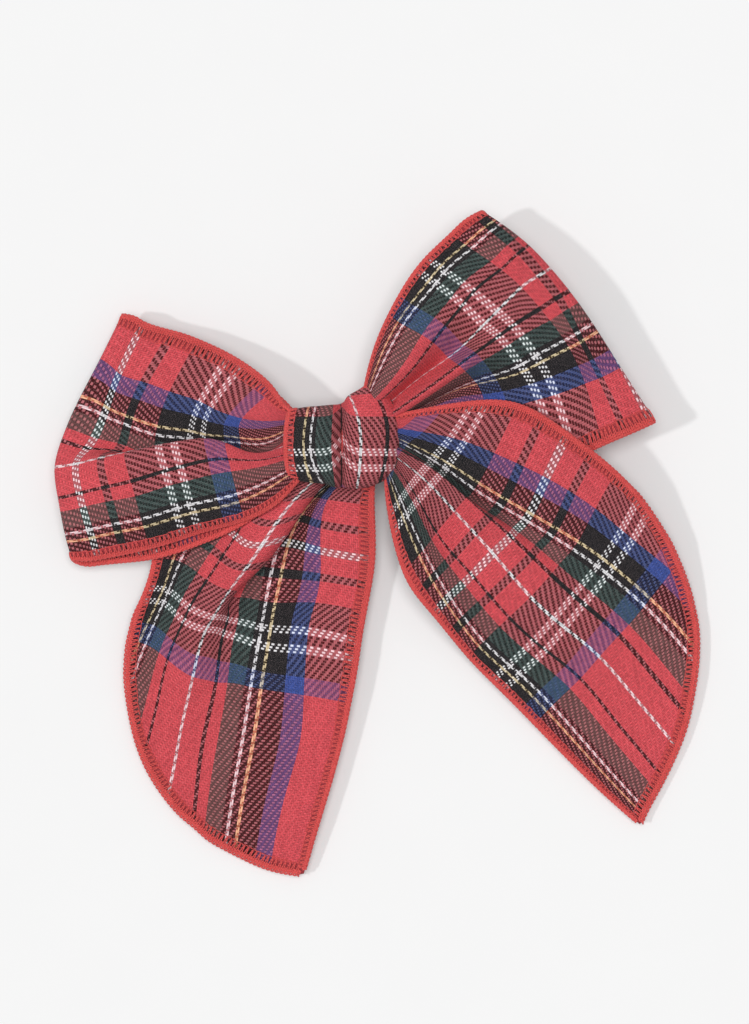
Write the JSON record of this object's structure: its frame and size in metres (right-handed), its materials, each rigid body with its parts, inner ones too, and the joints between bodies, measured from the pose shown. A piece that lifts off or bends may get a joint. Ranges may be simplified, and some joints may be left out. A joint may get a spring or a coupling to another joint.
{
  "type": "hair bow",
  "caption": "Knotted fabric hair bow with two folded loops and two pointed tails, held by a sprung toothed clip that opens to grip hair.",
  "frame": {"origin": "under the middle of the knot, on the surface that the bow lies on", "axes": "+Z out of the bow's face, +X to its right loop, +Y away from the tails"},
  "size_m": [0.1285, 0.1325, 0.0151],
  "materials": {
    "plaid_twill": "yarn-dyed 2/2 twill in red, green, blue, black, white and yellow",
    "serging_thread": "spun polyester overlock thread",
    "hot_glue": "cloudy, smooth",
    "red_ribbon": "ribbed grosgrain",
    "clip_steel": "nickel plated, bright",
    "pin_steel": "nickel plated, bright",
    "spring_steel": "drawn wire"
  },
  "bodies": {
    "bow": {"left_loop_front": "plaid_twill", "left_loop_back": "plaid_twill", "right_loop_front": "plaid_twill", "right_loop_back": "plaid_twill", "left_tail": "plaid_twill", "right_tail": "plaid_twill", "knot_wrap": "plaid_twill", "gathered_waist": "plaid_twill", "left_loop_upper_serging": "serging_thread", "left_loop_lower_serging": "serging_thread", "right_loop_upper_serging": "serging_thread", "right_loop_lower_serging": "serging_thread", "left_tail_serging": "serging_thread", "right_tail_serging": "serging_thread", "knot_serging": "serging_thread", "gathering_thread": "serging_thread", "glue_pad": "hot_glue", "clip_ribbon_lining": "red_ribbon", "clip_upper_arm": "clip_steel", "clip_hinge_pin": "pin_steel", "clip_spring": "spring_steel"},
    "jaw": {"clip_lower_arm": "clip_steel"}
  },
  "joints": [
    {"name": "clip_hinge", "type": "hinge", "parent": "bow", "child": "jaw", "pos_m": [0.00869, 0.00233, 0.0028], "axis": [0.2588, -0.9659, 0], "range_deg": [0, 28], "stiffness_Nm_per_rad": 0.05, "springref_deg": -57.3, "deforming": ["clip_spring"]}
  ]
}
